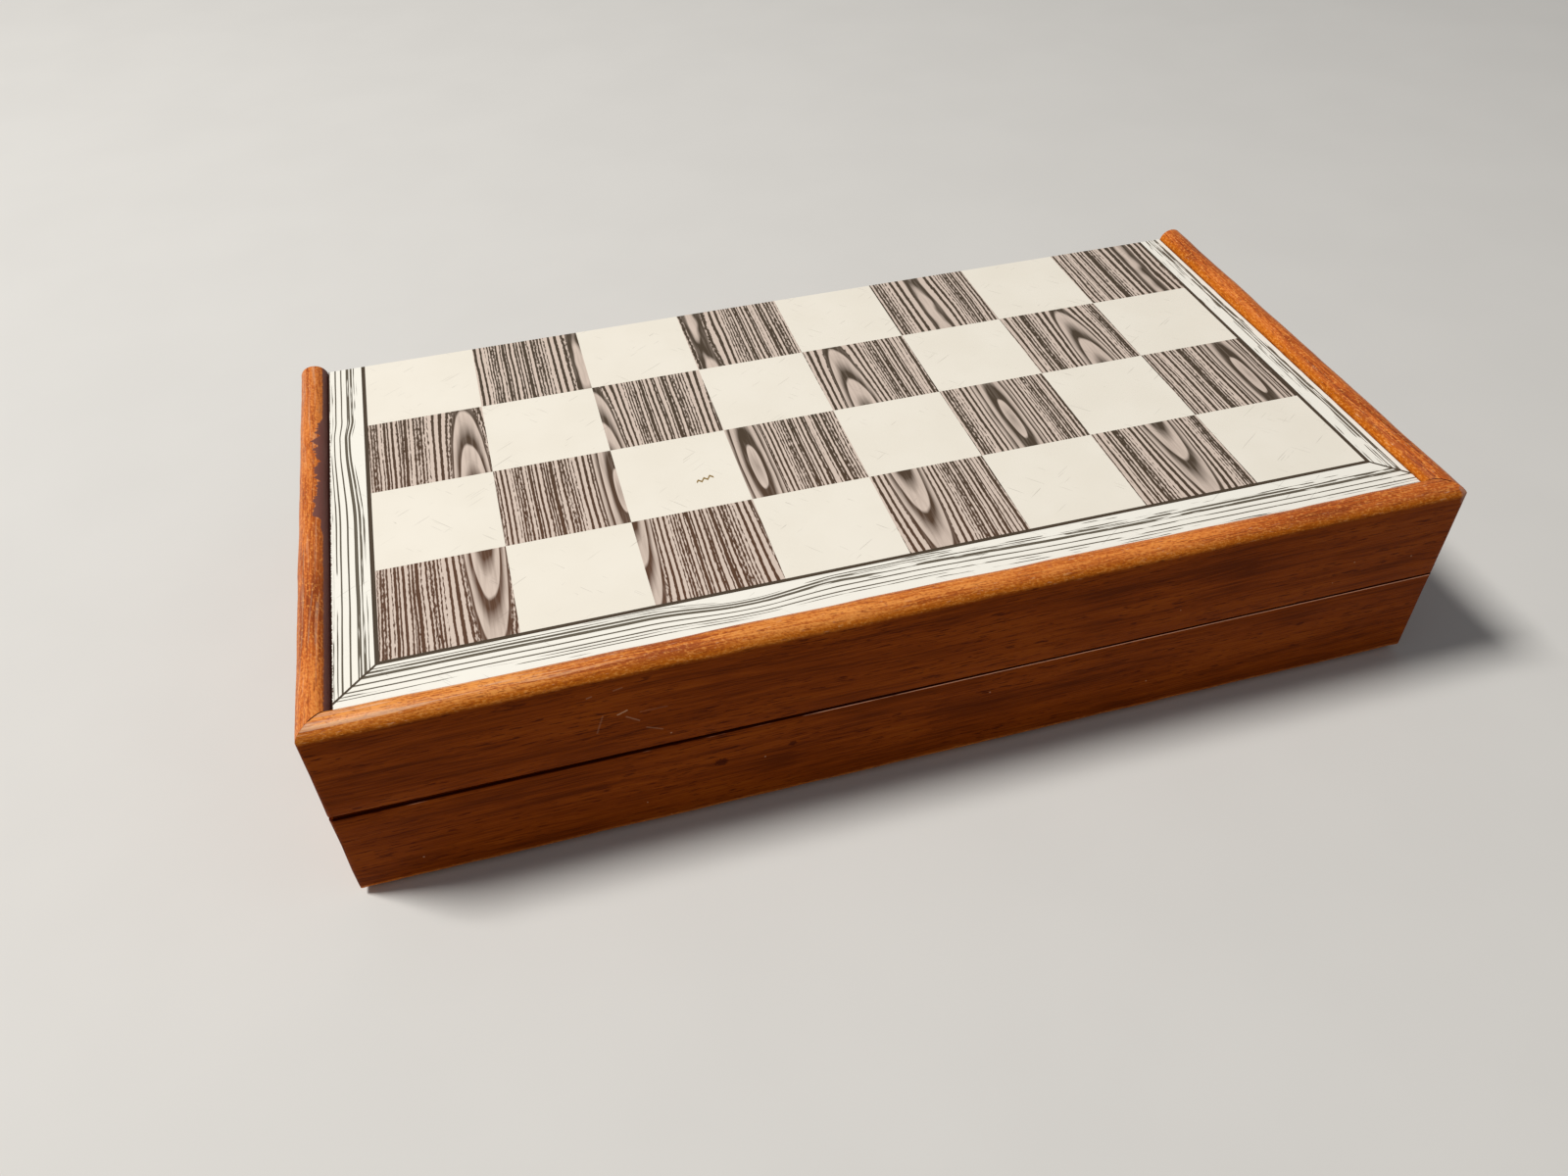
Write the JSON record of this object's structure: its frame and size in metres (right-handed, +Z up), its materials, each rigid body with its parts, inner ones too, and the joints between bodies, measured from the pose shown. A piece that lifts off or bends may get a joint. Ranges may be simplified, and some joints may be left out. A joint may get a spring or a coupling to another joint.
{
  "type": "folding magnetic chess set",
  "caption": "Closed folding wooden chess case with half of the board on each outer face, hinged at the back, with magnetic men stored in foam inside.",
  "frame": {"origin": "middle of the case's underside at the height of what it stands on, midway between the front face and the hinge barrels", "axes": "+X along the long side, +Y to the hinged back, +Z up out of the upper board"},
  "size_m": [0.2726, 0.141, 0.0557],
  "materials": {
    "laminate": "satin printed laminate, cream and brown wood-grain squares",
    "varnished_wood": "reddish orange varnish, semi-gloss",
    "fibreboard": "raw fibreboard",
    "sheet_steel": "tinned, dull",
    "hinge_brass": "polished, slightly tarnished",
    "screw_brass": "polished",
    "pin_steel": "drawn wire",
    "catch_metal": "nickel plated",
    "ferrite": "sintered, dark grey",
    "flocked_foam": "green flocking",
    "green_felt": "felt",
    "white_plastic": "cream, moulded",
    "black_plastic": "black, moulded"
  },
  "bodies": {
    "lower_case": {"hinge_pins": "pin_steel", "lower_board_backing": "fibreboard", "lower_catch_magnets": "catch_metal", "lower_foam_insert": "flocked_foam", "lower_front_rail": "varnished_wood", "lower_hinge_leaves": "hinge_brass", "lower_hinge_rail": "varnished_wood", "lower_hinge_screws": "screw_brass", "lower_left_rail": "varnished_wood", "lower_playing_face": "laminate", "lower_right_rail": "varnished_wood", "lower_steel_sheet": "sheet_steel", "white_bishops": "white_plastic", "white_felts": "green_felt", "white_king": "white_plastic", "white_knights": "white_plastic", "white_magnets": "ferrite", "white_pawns": "white_plastic", "white_queen": "white_plastic", "white_rooks": "white_plastic"},
    "upper_case": {"black_bishops": "black_plastic", "black_felts": "green_felt", "black_king": "black_plastic", "black_knights": "black_plastic", "black_magnets": "ferrite", "black_pawns": "black_plastic", "black_queen": "black_plastic", "black_rooks": "black_plastic", "upper_board_backing": "fibreboard", "upper_catch_magnets": "catch_metal", "upper_foam_insert": "flocked_foam", "upper_front_rail": "varnished_wood", "upper_hinge_leaves": "hinge_brass", "upper_hinge_rail": "varnished_wood", "upper_hinge_screws": "screw_brass", "upper_left_rail": "varnished_wood", "upper_playing_face": "laminate", "upper_right_rail": "varnished_wood", "upper_steel_sheet": "sheet_steel"}
  },
  "joints": [
    {"name": "lid_hinge", "type": "hinge", "parent": "lower_case", "child": "upper_case", "pos_m": [0, 0.06888, 0.02785], "axis": [-1, 0, 0], "range_deg": [0, 180]}
  ]
}
